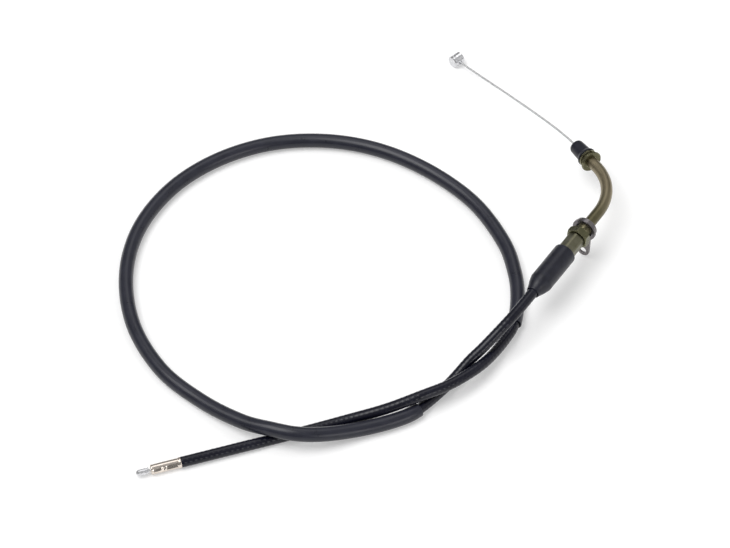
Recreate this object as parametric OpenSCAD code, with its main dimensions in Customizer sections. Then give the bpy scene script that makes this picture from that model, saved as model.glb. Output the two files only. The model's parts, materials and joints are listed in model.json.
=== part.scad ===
// Motorcycle throttle cable: a sheathed pull cable with a bent pipe at the twist grip and a crimped ferrule at
// the carburettor.
// Millimetres. +Z is up, z = 0 is the table it lies on, and the origin is below the middle of its end fittings.

/* [Outer casing] */
// Outside diameter of the black jacket
jacket_d = 5.9; // [5.5:0.1:6]
// Thickness of the jacket's wall
jacket_wall = 0.75; // [0.5:0.05:0.9]
// Thickness of the flat steel wire that the casing is wound from
winding_wall = 0.7; // [0.5:0.05:0.8]
// Thickness of the plastic liner
liner_wall = 0.35; // [0.2:0.05:0.4]
// Gap between two layers of the casing
layer_gap = 0.08; // [0.05:0.01:0.12]
// Greatest distance between two rings of a swept tube
ring_pitch = 18; // [16:1:24]

/* [Protective sleeve] */
// Outside diameter of the sleeve that is slipped over the casing
sleeve_d = 8; // [7.8:0.1:8.2]
// Thickness of the sleeve's wall
sleeve_wall = 0.85; // [0.6:0.05:0.85]

/* [Inner wire] */
// Diameter of the stranded inner wire
wire_d = 1.2; // [0.9:0.1:1.4]
// Wire in the open, from the dust cap's tip to the middle of the grip nipple
grip_wire_length = 101.2; // [70:0.2:110]
// How far the throttle pulls the wire
throttle_stroke = 22; // [15:1:24]

/* [Rubber boot] */
// Length of the boot
boot_length = 33.2; // [30:0.2:40]
// Length of its tapered end
boot_taper = 7; // [5:0.5:12]
// Outside diameter of the boot
boot_d = 12.7; // [11.8:0.1:14]
// Outside diameter of its narrow end
boot_tip_d = 7.3; // [7.2:0.1:9]
// Gap round the casing in the narrow end
boot_grip_gap = 0.25; // [0.2:0.05:0.3]

/* [Adjuster barrel] */
// Outside diameter of the barrel's round part
barrel_d = 10; // [9.6:0.1:11]
// Width across the flats of its hexagonal part
barrel_flats = 9.2; // [9:0.1:9.6]
// Length of the barrel past the boot
barrel_shown = 11.6; // [8:0.2:14]
// Length of the barrel from the casing's end to the edge of the boot
barrel_covered = 8.2; // [8:0.2:12]
// Depth of the socket that holds the casing's cap
socket_depth = 10; // [8:0.5:12]
// Diameter of the adjusting thread
thread_d = 7; // [6.8:0.1:7.2]

/* [Lock nut] */
// Width across the nut's flats
nut_flats = 11.6; // [10.5:0.1:12]
// Thickness of the nut
nut_height = 4.4; // [4:0.1:6]
// Thread that shows between the nut and the holder plate
nut_to_plate = 3.4; // [2:0.1:5]

/* [Holder plate] */
// Thickness of the stamped sheet
plate_t = 1.2; // [0.8:0.1:1.4]
// Outside diameter of the plate's round part
plate_d = 13.8; // [13.5:0.1:16]
// Diameter of the recess on the nut's side
recess_d = 10; // [9.6:0.1:10.4]
// Depth of the recess
recess_depth = 2; // [1.6:0.1:2.4]
// Distance from the pipe's axis to the screw hole in the ear
ear_reach = 16.2; // [14:0.1:17.6]
// Outside radius of the ear
ear_r = 3.8; // [3.4:0.1:3.9]
// Diameter of the screw hole in the ear
ear_hole_d = 4.4; // [3.6:0.1:5]

/* [Elbow pipe] */
// Outside diameter of the pipe
pipe_d = 6.4; // [6:0.1:6.6]
// Bore of the pipe
pipe_bore = 4; // [3:0.1:4.4]
// Straight pipe between the holder plate's front and the bend
pipe_straight = 15; // [10:0.1:24]
// Radius of the bend along the pipe's middle
bend_r = 33; // [24:1:42]
// Angle of the bend
bend_angle = 64.5; // [45:0.5:90]
// Straight pipe past the bend
pipe_end = 17; // [15:0.5:20]

/* [Collar and dust cap] */
// Diameter of the collar's disc on the bend side
collar_d = 12.2; // [11.6:0.1:14]
// Diameter of the collar's disc on the cap side
collar_cap_side_d = 10.5; // [10.2:0.1:11.4]
// Diameter at the bottom of the groove
groove_d = 9; // [8.2:0.1:9.6]
// Width of the groove that the throttle housing holds
groove_w = 1.8; // [1.4:0.1:2.2]
// Thickness of the disc on the bend side
collar_disc_t = 1.4; // [1:0.1:1.8]
// Length of the collar
collar_length = 4.8; // [4.6:0.1:7]
// Distance from the bend to the collar
collar_at = 4.5; // [2:0.1:5]
// Length of the dust cap without its nub
cap_length = 11.1; // [10:0.1:13]
// Diameter of the dust cap at its closed end
cap_d = 8.2; // [7.6:0.1:8.4]

/* [Grip nipple] */
// Diameter of the drum
drum_d = 6.8; // [6:0.1:8]
// Length of the drum
drum_length = 6.6; // [5.6:0.1:8]

/* [Carburettor end] */
// Outside diameter of the crimped ferrule
ferrule_d = 5.4; // [5.2:0.1:5.8]
// Length of the ferrule
ferrule_length = 16.4; // [14:0.2:20]
// Bare wire between the ferrule and the nipple
carb_wire_gap = 0.9; // [0.5:0.1:3]
// Diameter of the small nipple
slug_d = 3.3; // [2.8:0.1:4]
// Length of the small nipple
slug_length = 6.8; // [6:0.1:9]

/* [Hidden] */
$fn = 64;

// Clearances
fit = 0.05;        // radial, between a shaft and the hole it runs in
face_gap = 0.15;   // between two faces of different bodies
edge = 0.4;        // chamfer on turned edges
joint_gap = 0.3;   // between the stretches that stand for the one inner wire

// Where the casing ends in the adjuster, and the heading of the adjuster's axis
casing_seat = [95.2, -21.55, 21.5];
adjuster_heading = 57;
elbow_roll = 6;
wire_heading = 129.2;
drum_heading = 42;

// The adjuster's axis. Stations along it are measured from the casing's end, towards the elbow.
axis = [cos(adjuster_heading), sin(adjuster_heading), 0];
function on_axis(s) = casing_seat + s * axis;
boot_front = barrel_covered;
boot_back = boot_front - boot_length;
barrel_top = barrel_covered + barrel_shown;
boot_cone = 5;                              // length over which the boot's bore opens out
boot_relief = 1;                            // least distance of that from the barrel's end
cap_end = 1;                                // thickness of the casing cap's closed end
web = 1.2;                                  // wall between the barrel's socket and its thread
thread_start = cap_end + face_gap + web;
pipe_start = thread_start + 1;
nut_bottom = barrel_top + face_gap;
nut_top = nut_bottom + nut_height;
plate_front = nut_top + nut_to_plate;
plate_floor = plate_front + recess_depth;   // bottom of the recess, on the nut's side
bead_w = 1.2;                               // width of the beads that hold the plate on the pipe
bead_d = pipe_d + 1.9;
bend_start = plate_front + pipe_straight;

// The bend, and the straight end that follows it
side = cos(elbow_roll) * [-sin(adjuster_heading), cos(adjuster_heading), 0] + sin(elbow_roll) * [0, 0, -1];
function in_bend(a) = on_axis(bend_start + bend_r * sin(a)) + bend_r * (1 - cos(a)) * side;
bend_end = in_bend(bend_angle);
end_axis = cos(bend_angle) * axis + sin(bend_angle) * side;
function on_end(t) = bend_end + t * end_axis;
collar_top = collar_at + collar_length;
cap_start = collar_top + 0.1;
cap_tip = cap_start + cap_length;
nub_length = 1.5;
nub_d = 3.2;
nub_tip = cap_tip + nub_length;
cap_hole_r = wire_d / 2 + 0.3;

// The wire outside the cap leaves along the pipe, sags to the table and ends in the drum
drum_drop = on_end(nub_tip)[2] - drum_d / 2;
drum_run = sqrt(pow(grip_wire_length, 2) - pow(drum_drop, 2));
drum_at = on_end(nub_tip) + [drum_run * cos(wire_heading), drum_run * sin(wire_heading), -drum_drop];
wire_start = cap_tip - 2;
wire_lead = 22;                             // how gently the wire turns out of the cap
drum_socket = 1.2;                          // depth of wire inside the drum
to_drum = (drum_at - on_end(nub_tip)) / grip_wire_length;

// The casing's route over the table, from the adjuster round the loop to the carburettor's ferrule
boot_stroke = 12;
table_z = jacket_d / 2 + 0.1;               // the casing's middle where it lies on the table
sleeve_z = sleeve_d / 2 + 0.05;             // the same inside the sleeve
sleeve_first = 7;                           // the route's points at the sleeve's two ends
sleeve_last = 29;
route = concat([on_axis(0), on_axis(boot_back / 2), on_axis(boot_back - boot_stroke - 1)], [
  [64.5, -65.1, 18.5], [54.8, -73.5, 12.9], [47.6, -79.4, 9.2], [36, -91.5, 3.9],
  [20.5, -108.2, sleeve_z], [8, -115.6, 4.15], [-10, -122, 4.9], [-29, -128, 8.2], [-43, -129.5, 10.4],
  [-56, -126.3, 10.3], [-72, -118.5, 7.2], [-93, -103, 4.4], [-115, -81.5, sleeve_z],
  [-131, -50.5, sleeve_z], [-136.3, -15, sleeve_z], [-130.5, 18, sleeve_z], [-114, 47, sleeve_z],
  [-90, 68, sleeve_z], [-61, 80.5, sleeve_z], [-30, 83, sleeve_z], [0, 76.2, sleeve_z], [28, 60.2, sleeve_z],
  [52, 37, sleeve_z], [67.5, 9, sleeve_z], [73.2, -13, sleeve_z], [74.4, -31, sleeve_z], [72.1, -49.5, 4.15],
  [67, -61, 4.8], [59, -75, 7.5], [50.5, -85.8, 9.8], [37, -96.5, 10.5], [22, -104.6, 11.1],
  [3, -110.8, 7.6], [-18, -115.6, 4.2], [-40, -122.3, 3.1], [-71.5, -132.4, table_z], [-103, -142.5, table_z]]);
last = len(route) - 1;
casing_end = route[last];
carb_heading = atan2(route[last][1] - route[last - 1][1], route[last][0] - route[last - 1][0]);
carb_axis = [cos(carb_heading), sin(carb_heading), 0];
function on_carb_axis(u) = casing_end + u * carb_axis;
winding_shown = 12;                         // casing without its jacket inside the ferrule
wire_spare = 3;                             // moving wire that stays in the casing when it is let out
carb_wire_start = -throttle_stroke - wire_spare;
slug_start = ferrule_length + carb_wire_gap;
dent_at = 10;
dent_depth = 0.5;
dent_r = 1.1;
flare = 0.3;                                // how far the ferrule's mouth stands proud

// A smooth curve through the route's points: Catmull-Rom, with rings no further apart than ring_pitch
function before(i) = i > 0 ? route[i - 1] : 2 * route[0] - route[1];
function after(i) = i < last - 1 ? route[i + 2] : 2 * route[last] - route[last - 1];
function between(i, t) = 0.5 * (2 * route[i] + t * (route[i + 1] - before(i))
  + t * t * (2 * before(i) - 5 * route[i] + 4 * route[i + 1] - after(i))
  + t * t * t * (3 * route[i] - before(i) - 3 * route[i + 1] + after(i)));
function steps(i) = ceil(norm(route[i + 1] - route[i]) / ring_pitch);
function span(from, to) = [for (i = [from:to - 1]) for (k = [0:steps(i) - 1]) between(i, k / steps(i))];
function bezier(a, b, c, d, t) =
  pow(1 - t, 3) * a + 3 * t * pow(1 - t, 2) * b + 3 * t * t * (1 - t) * c + pow(t, 3) * d;

// A tube swept along a path, solid where the inside radius is 0
function unit(v) = v / norm(v);
function heading(path, i) = unit(path[min(i + 1, len(path) - 1)] - path[max(i - 1, 0)]);
function ring(middle, ahead, r, sides) =
  let (across = unit(cross(ahead, [0, 0, 1])), up = cross(across, ahead))
    [for (k = [0:sides - 1]) middle + r * (cos(360 * k / sides) * across + sin(360 * k / sides) * up)];
function rings(path, r, sides) =
  [for (i = [0:len(path) - 1]) each ring(path[i], heading(path, i), r, sides)];
function skin(count, sides, first) = [for (i = [0:count - 2]) for (k = [0:sides - 1])
  let (a = first + i * sides + k, b = first + i * sides + (k + 1) % sides)
    each [[a, b, b + sides], [a, b + sides, a + sides]]];
function flipped(faces) = [for (f = faces) [f[2], f[1], f[0]]];
function end_disc(sides, first) = [[for (k = [0:sides - 1]) first + sides - 1 - k]];
function end_ring(sides, outer, inner) = [for (k = [0:sides - 1])
  let (n = (k + 1) % sides) each [[outer + k, inner + k, outer + n], [outer + n, inner + k, inner + n]]];
module swept_tube(path, r, bore, sides) {
  count = len(path);
  inner = count * sides;
  far = (count - 1) * sides;
  if (bore > 0)
    polyhedron(
      concat(rings(path, r, sides), rings(path, bore, sides)),
      concat(flipped(skin(count, sides, 0)), skin(count, sides, inner), flipped(end_ring(sides, 0, inner)),
        end_ring(sides, far, inner + far)));
  else
    polyhedron(rings(path, r, sides),
      concat(flipped(skin(count, sides, 0)), flipped_disc(end_disc(sides, 0)), end_disc(sides, far)));
}
function flipped_disc(discs) = [for (d = discs) [for (k = [len(d) - 1:-1:0]) d[k]]];

// Frames that a turned piece is drawn in: its axis is the local Z
module on_adjuster() { translate(casing_seat) rotate([0, 90, adjuster_heading]) children(); }
module in_bend_plane() { on_adjuster() rotate([0, 0, -elbow_roll]) children(); }
module on_pipe_end() {
  in_bend_plane() translate([0, bend_r * (1 - cos(bend_angle)), bend_start + bend_r * sin(bend_angle)])
    rotate([-bend_angle, 0, 0]) children();
}
module on_carb_end() { translate(casing_end) rotate([0, 90, carb_heading]) children(); }
module tube(r, bore, from, to) {
  rotate_extrude() translate([bore, from]) square([r - bore, to - from]);
}
module hexagon(flats, from, to) {
  translate([0, 0, from]) cylinder(d = flats / cos(30), h = to - from, $fn = 6);
}

// Casing layers
jacket_r = jacket_d / 2;
jacket_bore = jacket_r - jacket_wall;
winding_r = jacket_bore - layer_gap;
winding_bore = winding_r - winding_wall;
liner_r = winding_bore - layer_gap;
liner_bore = liner_r - liner_wall;
casing_sides = 10;
wire_sides = 8;
casing_path = concat(span(0, last), [casing_end]);
stripped_path = concat(casing_path, [on_carb_axis(winding_shown)]);

module casing_jacket() {
  color([0.12, 0.12, 0.13]) swept_tube(casing_path, jacket_r, jacket_bore, casing_sides);
}

module casing_winding() {
  color([0.6, 0.6, 0.62]) swept_tube(stripped_path, winding_r, winding_bore, casing_sides);
}

module casing_liner() {
  color([0.9, 0.9, 0.88]) swept_tube(stripped_path, liner_r, liner_bore, wire_sides);
}

module casing_wire() {
  color([0.7, 0.7, 0.7])
    swept_tube(concat([on_axis(thread_start)], span(0, last - 1), [route[last - 1]],
      [on_carb_axis(carb_wire_start - joint_gap)]), wire_d / 2, 0, wire_sides);
}

module protective_sleeve() {
  color([0.13, 0.13, 0.14])
    swept_tube(concat(span(sleeve_first, sleeve_last), [route[sleeve_last]]), sleeve_d / 2,
      sleeve_d / 2 - sleeve_wall, casing_sides);
}

// Adjuster and its boot
module casing_cap() {
  r = thread_d / 2;
  seat_r = jacket_r + fit;
  color([0.75, 0.73, 0.65]) on_adjuster() rotate_extrude() polygon([[seat_r, -socket_depth], [r, -socket_depth],
    [r, cap_end - edge], [r - edge, cap_end], [wire_d, cap_end], [wire_d, fit], [seat_r, fit]]);
}

module adjuster_barrel() {
  r = barrel_d / 2;
  hex_start = barrel_covered - 1;
  color([0.5, 0.47, 0.33]) on_adjuster() difference() {
    intersection() {
      rotate_extrude() polygon([[0, -socket_depth], [r - edge, -socket_depth], [r, edge - socket_depth],
        [r, barrel_top - edge], [r - edge, barrel_top], [0, barrel_top]]);
      union() {
        translate([0, 0, -socket_depth]) cylinder(r = barrel_d, h = socket_depth + hex_start);
        hexagon(barrel_flats, -socket_depth, barrel_top);
      }
    }
    translate([0, 0, -socket_depth - 1])
      cylinder(r = thread_d / 2 + fit, h = socket_depth + 1 + cap_end + face_gap);
    translate([0, 0, thread_start]) cylinder(r = thread_d / 2 + fit, h = barrel_top);
    cylinder(r = wire_d, h = barrel_top);
  }
}

module rubber_boot() {
  r = boot_d / 2;
  taper_start = boot_back + boot_taper;
  grip_r = jacket_r + boot_grip_gap;
  shoulder = min(-socket_depth - boot_relief, taper_start + boot_cone);
  color([0.1, 0.1, 0.11]) on_adjuster() rotate_extrude() polygon([
    [barrel_d / 2 + 2 * fit, boot_front], [r - edge, boot_front], [r, boot_front - edge], [r, taper_start],
    [boot_tip_d / 2, boot_back], [grip_r, boot_back], [grip_r, taper_start],
    [barrel_d / 2 + 2 * fit, shoulder]]);
}

module lock_nut() {
  corner_r = nut_flats / cos(30) / 2;
  bevel = corner_r - nut_flats / 2;
  color([0.55, 0.52, 0.25]) on_adjuster() difference() {
    intersection() {
      hexagon(nut_flats, nut_bottom, nut_top);
      rotate_extrude() polygon([[0, nut_bottom], [corner_r - bevel, nut_bottom], [corner_r, nut_bottom + bevel],
        [corner_r, nut_top - bevel], [corner_r - bevel, nut_top], [0, nut_top]]);
    }
    translate([0, 0, nut_bottom - 1]) cylinder(r = thread_d / 2 + fit, h = nut_height + 2);
  }
}

// Holder plate: a dished ring with an ear that is screwed to the throttle housing
module holder_plate() {
  r = plate_d / 2;
  recess_r = recess_d / 2;
  color([0.5, 0.48, 0.36]) on_adjuster() difference() {
    union() {
      rotate_extrude() polygon([[0, plate_floor], [recess_r, plate_floor], [recess_r, plate_front],
        [r, plate_front], [r, plate_front + plate_t], [recess_r + plate_t, plate_front + plate_t],
        [recess_r + plate_t, plate_floor + plate_t], [0, plate_floor + plate_t]]);
      translate([0, 0, plate_front]) linear_extrude(plate_t) difference() {
        union() {
          polygon([[recess_r + edge, -ear_r - edge], [ear_reach, -ear_r], [ear_reach, ear_r],
            [recess_r + edge, ear_r + edge]]);
          translate([ear_reach, 0]) circle(ear_r);
        }
        circle(recess_r + plate_t / 2);
      }
    }
    translate([0, 0, plate_floor - 1]) cylinder(r = pipe_d / 2 + fit, h = plate_t + 2);
    translate([ear_reach, 0, plate_front - 1]) cylinder(d = ear_hole_d, h = plate_t + 2);
  }
}

// Elbow pipe: threaded tail, two beads that hold the plate, the bend and the straight end.
// Bending draws the tube a little thinner, so the bend's wall is thinner by seam, and the straight parts lap
// over it.
seam = 0.03;
lap = 0.05;
function bead(from, r) = [[pipe_d / 2, from], [r - edge, from], [r, from + edge],
  [r, from + bead_w - edge], [r - edge, from + bead_w], [pipe_d / 2, from + bead_w]];

module elbow_pipe() {
  bead_r = bead_d / 2;
  bore = pipe_bore / 2;
  thread_r = thread_d / 2;
  first_bead = plate_floor - face_gap - bead_w;
  color([0.45, 0.42, 0.3]) {
    on_adjuster() rotate_extrude() polygon(concat(
      [[bore, pipe_start], [thread_r - edge, pipe_start], [thread_r, pipe_start + edge],
        [thread_r, first_bead - edge]],
      bead(first_bead, bead_r), bead(plate_floor + plate_t + face_gap, bead_r),
      [[pipe_d / 2, bend_start + lap], [bore, bend_start + lap]]));
    in_bend_plane() translate([0, bend_r, bend_start]) rotate([90, 0, -90])
      rotate_extrude(angle = bend_angle) translate([bend_r, 0]) difference() {
        circle(pipe_d / 2 - seam);
        circle(bore + seam);
      }
    on_pipe_end() rotate_extrude() translate([bore, -lap]) square([pipe_d / 2 - bore, pipe_end + lap]);
  }
}

module elbow_wire() {
  bend_steps = 12;
  color([0.7, 0.7, 0.7]) swept_tube(concat([on_axis(thread_start + joint_gap)], [for (k = [0:bend_steps])
    in_bend(bend_angle * k / bend_steps)], [on_end(wire_start - joint_gap)]), wire_d / 2, 0, wire_sides);
}

// Collar that sits in the throttle housing, and the dust cap on the pipe's end
module pipe_collar() {
  bore = pipe_d / 2 + fit;
  groove_start = collar_at + collar_disc_t;
  step = 0.5;                                 // rebate that the dust cap's lip meets
  top_r = collar_cap_side_d / 2;
  color([0.48, 0.46, 0.3]) on_pipe_end() rotate_extrude() polygon([
    [bore, collar_at], [collar_d / 2 - edge, collar_at], [collar_d / 2, collar_at + edge],
    [collar_d / 2, groove_start - edge], [collar_d / 2 - edge, groove_start], [groove_d / 2, groove_start],
    [groove_d / 2, groove_start + groove_w], [top_r - edge, groove_start + groove_w],
    [top_r, groove_start + groove_w + edge / 2], [top_r, collar_top - step], [top_r - edge, collar_top - step],
    [top_r - edge, collar_top], [bore, collar_top]]);
}

module dust_cap() {
  r = cap_d / 2;
  inner = pipe_d / 2 + fit;
  lip_r = collar_cap_side_d / 2 + 0.2;
  pocket = pipe_end + 0.3;
  color([0.12, 0.12, 0.13]) on_pipe_end() rotate_extrude() polygon([
    [inner, cap_start], [lip_r, cap_start], [lip_r, cap_start + 0.7], [r + 0.4, cap_start + 2.2],
    [r, cap_tip - 1], [r - 0.3, cap_tip - 0.3], [r - 1, cap_tip], [nub_d / 2, cap_tip],
    [nub_d / 2, nub_tip - 0.3], [nub_d / 2 - 0.3, nub_tip], [cap_hole_r, nub_tip], [cap_hole_r, pocket],
    [inner, pocket]]);
}

// The wire past the cap, and the drum that hooks into the twist grip
module grip_wire() {
  from = on_end(wire_start);
  exit = on_end(nub_tip);
  to = drum_at - (drum_d / 2 - drum_socket) * to_drum;
  bends = 12;
  color([0.72, 0.72, 0.72]) swept_tube(concat([from], [for (k = [0:bends])
    bezier(exit, exit + wire_lead * end_axis, to - wire_lead * to_drum, to, k / bends)]),
    wire_d / 2, 0, wire_sides);
}

module grip_nipple() {
  r = drum_d / 2;
  l = drum_length / 2;
  color([0.78, 0.78, 0.78]) difference() {
    translate(drum_at) rotate([0, 90, drum_heading]) rotate_extrude() polygon([
      [0, -l], [r - edge, -l], [r, edge - l], [r, 1.1 - l], [r - 0.35, 1.3 - l], [r - 0.35, 1.9 - l],
      [r, 2.1 - l], [r, l - edge], [r - edge, l], [0, l]]);
    translate(drum_at - 2 * drum_d * to_drum)
      rotate([0, 90 + asin(drum_drop / grip_wire_length), wire_heading])
        cylinder(r = wire_d / 2 + 0.12, h = 2 * drum_d - (drum_d / 2 - drum_socket) + 0.1);
  }
}

// Carburettor end: crimped ferrule, bare wire and small nipple
module carb_ferrule() {
  r = ferrule_d / 2;
  crimp_bore = winding_r + fit;
  color([0.82, 0.8, 0.74]) on_carb_end() difference() {
    rotate_extrude() polygon([[crimp_bore, fit], [r + flare - 0.2, fit], [r + flare, 0.25], [r + flare, 0.8],
      [r, 1.2], [r, ferrule_length - edge], [r - edge, ferrule_length], [wire_d / 2 + 2 * fit, ferrule_length],
      [wire_d / 2 + 2 * fit, winding_shown + 0.1], [crimp_bore, winding_shown + 0.1]]);
    for (turn = [125, 305]) rotate([0, 0, turn]) translate([r - dent_depth, 0, dent_at]) rotate([0, 90, 0])
      cylinder(r1 = 0.3, r2 = dent_r, h = dent_depth + 0.1);
  }
}

module carb_wire() {
  color([0.72, 0.72, 0.72]) on_carb_end() translate([0, 0, carb_wire_start])
    cylinder(d = wire_d, h = slug_start + 1 - carb_wire_start);
}

module carb_nipple() {
  r = slug_d / 2;
  tip = slug_start + slug_length;
  color([0.8, 0.8, 0.8]) on_carb_end() difference() {
    rotate_extrude() polygon([[0, slug_start], [r - 0.15, slug_start], [r, slug_start + 0.15],
      [r, slug_start + 0.7], [r - 0.25, slug_start + 0.9], [r - 0.25, slug_start + 1.3], [r, slug_start + 1.5],
      [r, tip - 1.2], [r - 0.9, tip], [0, tip]]);
    translate([0, 0, slug_start - 1]) cylinder(r = wire_d / 2 + fit, h = 2 + fit);
  }
}

grip_nipple();
grip_wire();
dust_cap();
pipe_collar();
elbow_pipe();
elbow_wire();
holder_plate();
lock_nut();
adjuster_barrel();
casing_cap();
rubber_boot();
casing_jacket();
casing_winding();
casing_liner();
casing_wire();
protective_sleeve();
carb_ferrule();
carb_wire();
carb_nipple();
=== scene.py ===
"""Looks of a motorcycle throttle cable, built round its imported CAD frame.

Metres, +Z up, and the table it lies on is z = 0. Each operator makes one piece or one group of like pieces.
"""

import json
import math
from bisect import bisect_left

import bmesh
import bpy
from bpy.props import FloatProperty, FloatVectorProperty, PointerProperty
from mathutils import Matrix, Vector, noise
from mathutils.bvhtree import BVHTree

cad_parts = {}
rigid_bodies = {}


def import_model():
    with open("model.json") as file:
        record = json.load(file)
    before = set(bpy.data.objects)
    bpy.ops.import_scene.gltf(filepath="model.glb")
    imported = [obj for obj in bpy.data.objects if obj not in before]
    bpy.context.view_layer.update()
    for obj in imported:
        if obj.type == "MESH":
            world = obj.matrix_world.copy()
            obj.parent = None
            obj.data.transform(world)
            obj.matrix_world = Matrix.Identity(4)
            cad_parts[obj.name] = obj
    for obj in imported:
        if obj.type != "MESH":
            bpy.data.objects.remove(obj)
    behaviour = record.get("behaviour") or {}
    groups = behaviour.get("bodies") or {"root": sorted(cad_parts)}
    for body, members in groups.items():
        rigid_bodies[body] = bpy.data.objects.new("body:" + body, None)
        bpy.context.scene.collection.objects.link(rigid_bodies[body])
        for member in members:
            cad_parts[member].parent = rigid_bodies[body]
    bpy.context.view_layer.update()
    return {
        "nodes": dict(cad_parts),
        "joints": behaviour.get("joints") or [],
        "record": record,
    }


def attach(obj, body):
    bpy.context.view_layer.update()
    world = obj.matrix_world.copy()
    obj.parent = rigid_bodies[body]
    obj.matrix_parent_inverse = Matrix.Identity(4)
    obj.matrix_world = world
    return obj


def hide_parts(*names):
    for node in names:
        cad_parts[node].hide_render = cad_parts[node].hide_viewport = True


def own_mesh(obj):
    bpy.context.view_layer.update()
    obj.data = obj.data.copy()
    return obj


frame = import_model()

bl_info = {
    "name": "Throttle cable",
    "version": (1, 0, 0),
    "blender": (4, 5, 0),
    "location": "View3D > Sidebar > Throttle cable",
    "description": "Makes the looks of a sheathed throttle pull cable and its studio",
    "category": "Object",
}

MM = 0.001
IMAGE_W, IMAGE_H = 730, 548
LONG_SIDE = max(IMAGE_W, IMAGE_H)
SENSOR_WIDTH = 36.0

# Points of the photograph, in pixels: the edges of the end fittings, and features that the camera is set by
EDGES = {"left": 137.0, "right": 612.5, "top": 51.8, "bottom": 473.5}
FEATURES = {
    "drum_middle": (457.3, 60.2),
    "drum_wire_joint": (461.5, 62.6),
    "wire_middle": (519.8, 102.6),
    "cap_nub": (571.5, 141.5),
    "collar_disc": (591.0, 160.8),
    "plate_middle": (584.0, 228.3),
    "ear_hole": (583.5, 249.0),
    "boot_narrow_end": (531.4, 292.2),
    "loop_left": (126.2, 281.5),
    "loop_top": (310.0, 140.5),
    "sleeve_end": (420.5, 413.5),
    "ferrule_end": (151.5, 468.8),
}

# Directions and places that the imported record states
JOINTS = {joint["name"]: joint for joint in frame["joints"]}
MOUNTS = {mount["name"]: mount for mount in frame["record"]["mounts"]}
ADJUSTER_AXIS = Vector(JOINTS["elbow_extend"]["axis"]).normalized()
TO_DRUM = -Vector(JOINTS["wire_pull"]["axis"]).normalized()
CARB_AXIS = Vector(JOINTS["carb_wire_out"]["axis"]).normalized()

# The casing's end in the adjuster, and stations along the adjuster's axis from there, in millimetres
SEAT = Vector((95.2, -21.55, 21.5)) * MM
BOOT_BACK, BOOT_FRONT, BOOT_TAPER = -25.0, 8.2, 7.0
THREAD_START, PIPE_START = 2.35, 3.35
BEAD_STARTS, BEAD_WIDTH = (28.4, 31.1), 1.2
PLATE_MIDDLE, BEND_START = 30.35, 42.75

# The elbow's bend, and stations past it, in millimetres
BEND_RADIUS, BEND_ANGLE, ELBOW_ROLL = 33.0, math.radians(64.5), math.radians(6)
COLLAR_MIDDLE, PIPE_END, CAP_START, CAP_TIP, NUB_TIP = 5.2, 17.0, 9.4, 20.5, 22.0

# Radii and lengths of the pieces, in millimetres
PIPE_R, PIPE_BORE, THREAD_R, THREAD_DEPTH, BEAD_R = 3.2, 2.0, 3.5, 0.32, 4.15
BOOT_R, WAIST_R, TAIL_R, BOOT_END_R, BOOT_BORE, TAIL_BORE = 6.35, 5.35, 4.05, 3.6, 5.12, 3.22
SKIRT_R, CAP_ROOT_R, CAP_R, NUB_R, CAP_BORE, NUB_BORE = 5.45, 4.5, 4.1, 1.6, 3.25, 0.9
GRIP_WIRE_LENGTH, WIRE_LEAD, CAP_WIRE = 101.2, 22.0, 2.0
DRUM_R, DRUM_SOCKET, NIPPLE_SOCKET = 3.4, 1.2, 1.0
WINDING_R, WINDING_BORE, LINER_R, LINER_BORE = 2.12, 1.42, 1.34, 0.99
FERRULE_LENGTH, FERRULE_R, RIM_R, FERRULE_BORE, WIRE_HOLE = 16.4, 2.7, 3.0, 2.17, 0.72
WINDING_SHOWN, WIRE_GAP, CARB_STROKE, CARB_LEAD, END_GAP = 12.0, 0.9, 22.0, 3.0, 0.3

# The ferrule's crimps, in millimetres from its start: flats with half of the arc that each takes, and a round dent
FLATS = ((1.8, 8.7, math.radians(26)), (11.2, 15.7, math.radians(20)))
CRIMP_SIDE = math.radians(210)
FLAT_RUN, DENT_AT, DENT_R, DENT_DEPTH = 0.4, 10.0, 1.1, 0.45

# The casing's route from the adjuster to the ferrule, in millimetres, as the CAD source has it
TABLE_Z, SLEEVE_Z = 3.05, 4.05
SLEEVE_FIRST, SLEEVE_LAST = 7, 29  # the points that the sleeve's two ends lie at
SPAN_STEPS = 16  # how many steps the curve takes from point to point
ROUTE = [tuple(SEAT / MM + s * ADJUSTER_AXIS) for s in (0, -12.5, -38)] + [
    (64.5, -65.1, 18.5), (54.8, -73.5, 12.9), (47.6, -79.4, 9.2), (36, -91.5, 3.9), (20.5, -108.2, SLEEVE_Z),
    (8, -115.6, 4.15), (-10, -122, 4.9), (-29, -128, 8.2), (-43, -129.5, 10.4), (-56, -126.3, 10.3),
    (-72, -118.5, 7.2), (-93, -103, 4.4), (-115, -81.5, SLEEVE_Z), (-131, -50.5, SLEEVE_Z),
    (-136.3, -15, SLEEVE_Z), (-130.5, 18, SLEEVE_Z), (-114, 47, SLEEVE_Z), (-90, 68, SLEEVE_Z),
    (-61, 80.5, SLEEVE_Z), (-30, 83, SLEEVE_Z), (0, 76.2, SLEEVE_Z), (28, 60.2, SLEEVE_Z), (52, 37, SLEEVE_Z),
    (67.5, 9, SLEEVE_Z), (73.2, -13, SLEEVE_Z), (74.4, -31, SLEEVE_Z), (72.1, -49.5, 4.15), (67, -61, 4.8),
    (59, -75, 7.5), (50.5, -85.8, 9.8), (37, -96.5, 10.5), (22, -104.6, 11.1), (3, -110.8, 7.6),
    (-18, -115.6, 4.2), (-40, -122.3, 3.1), (-71.5, -132.4, TABLE_Z), (-103, -142.5, TABLE_Z),
]

# The width of the edge that carries a painted highlight, and where the pipe's tint turns, from the bend's start, in
# millimetres
HIGHLIGHT_EDGE_WIDTH, TINT_FROM, TINT_TO = 0.28, -6, 16

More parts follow.
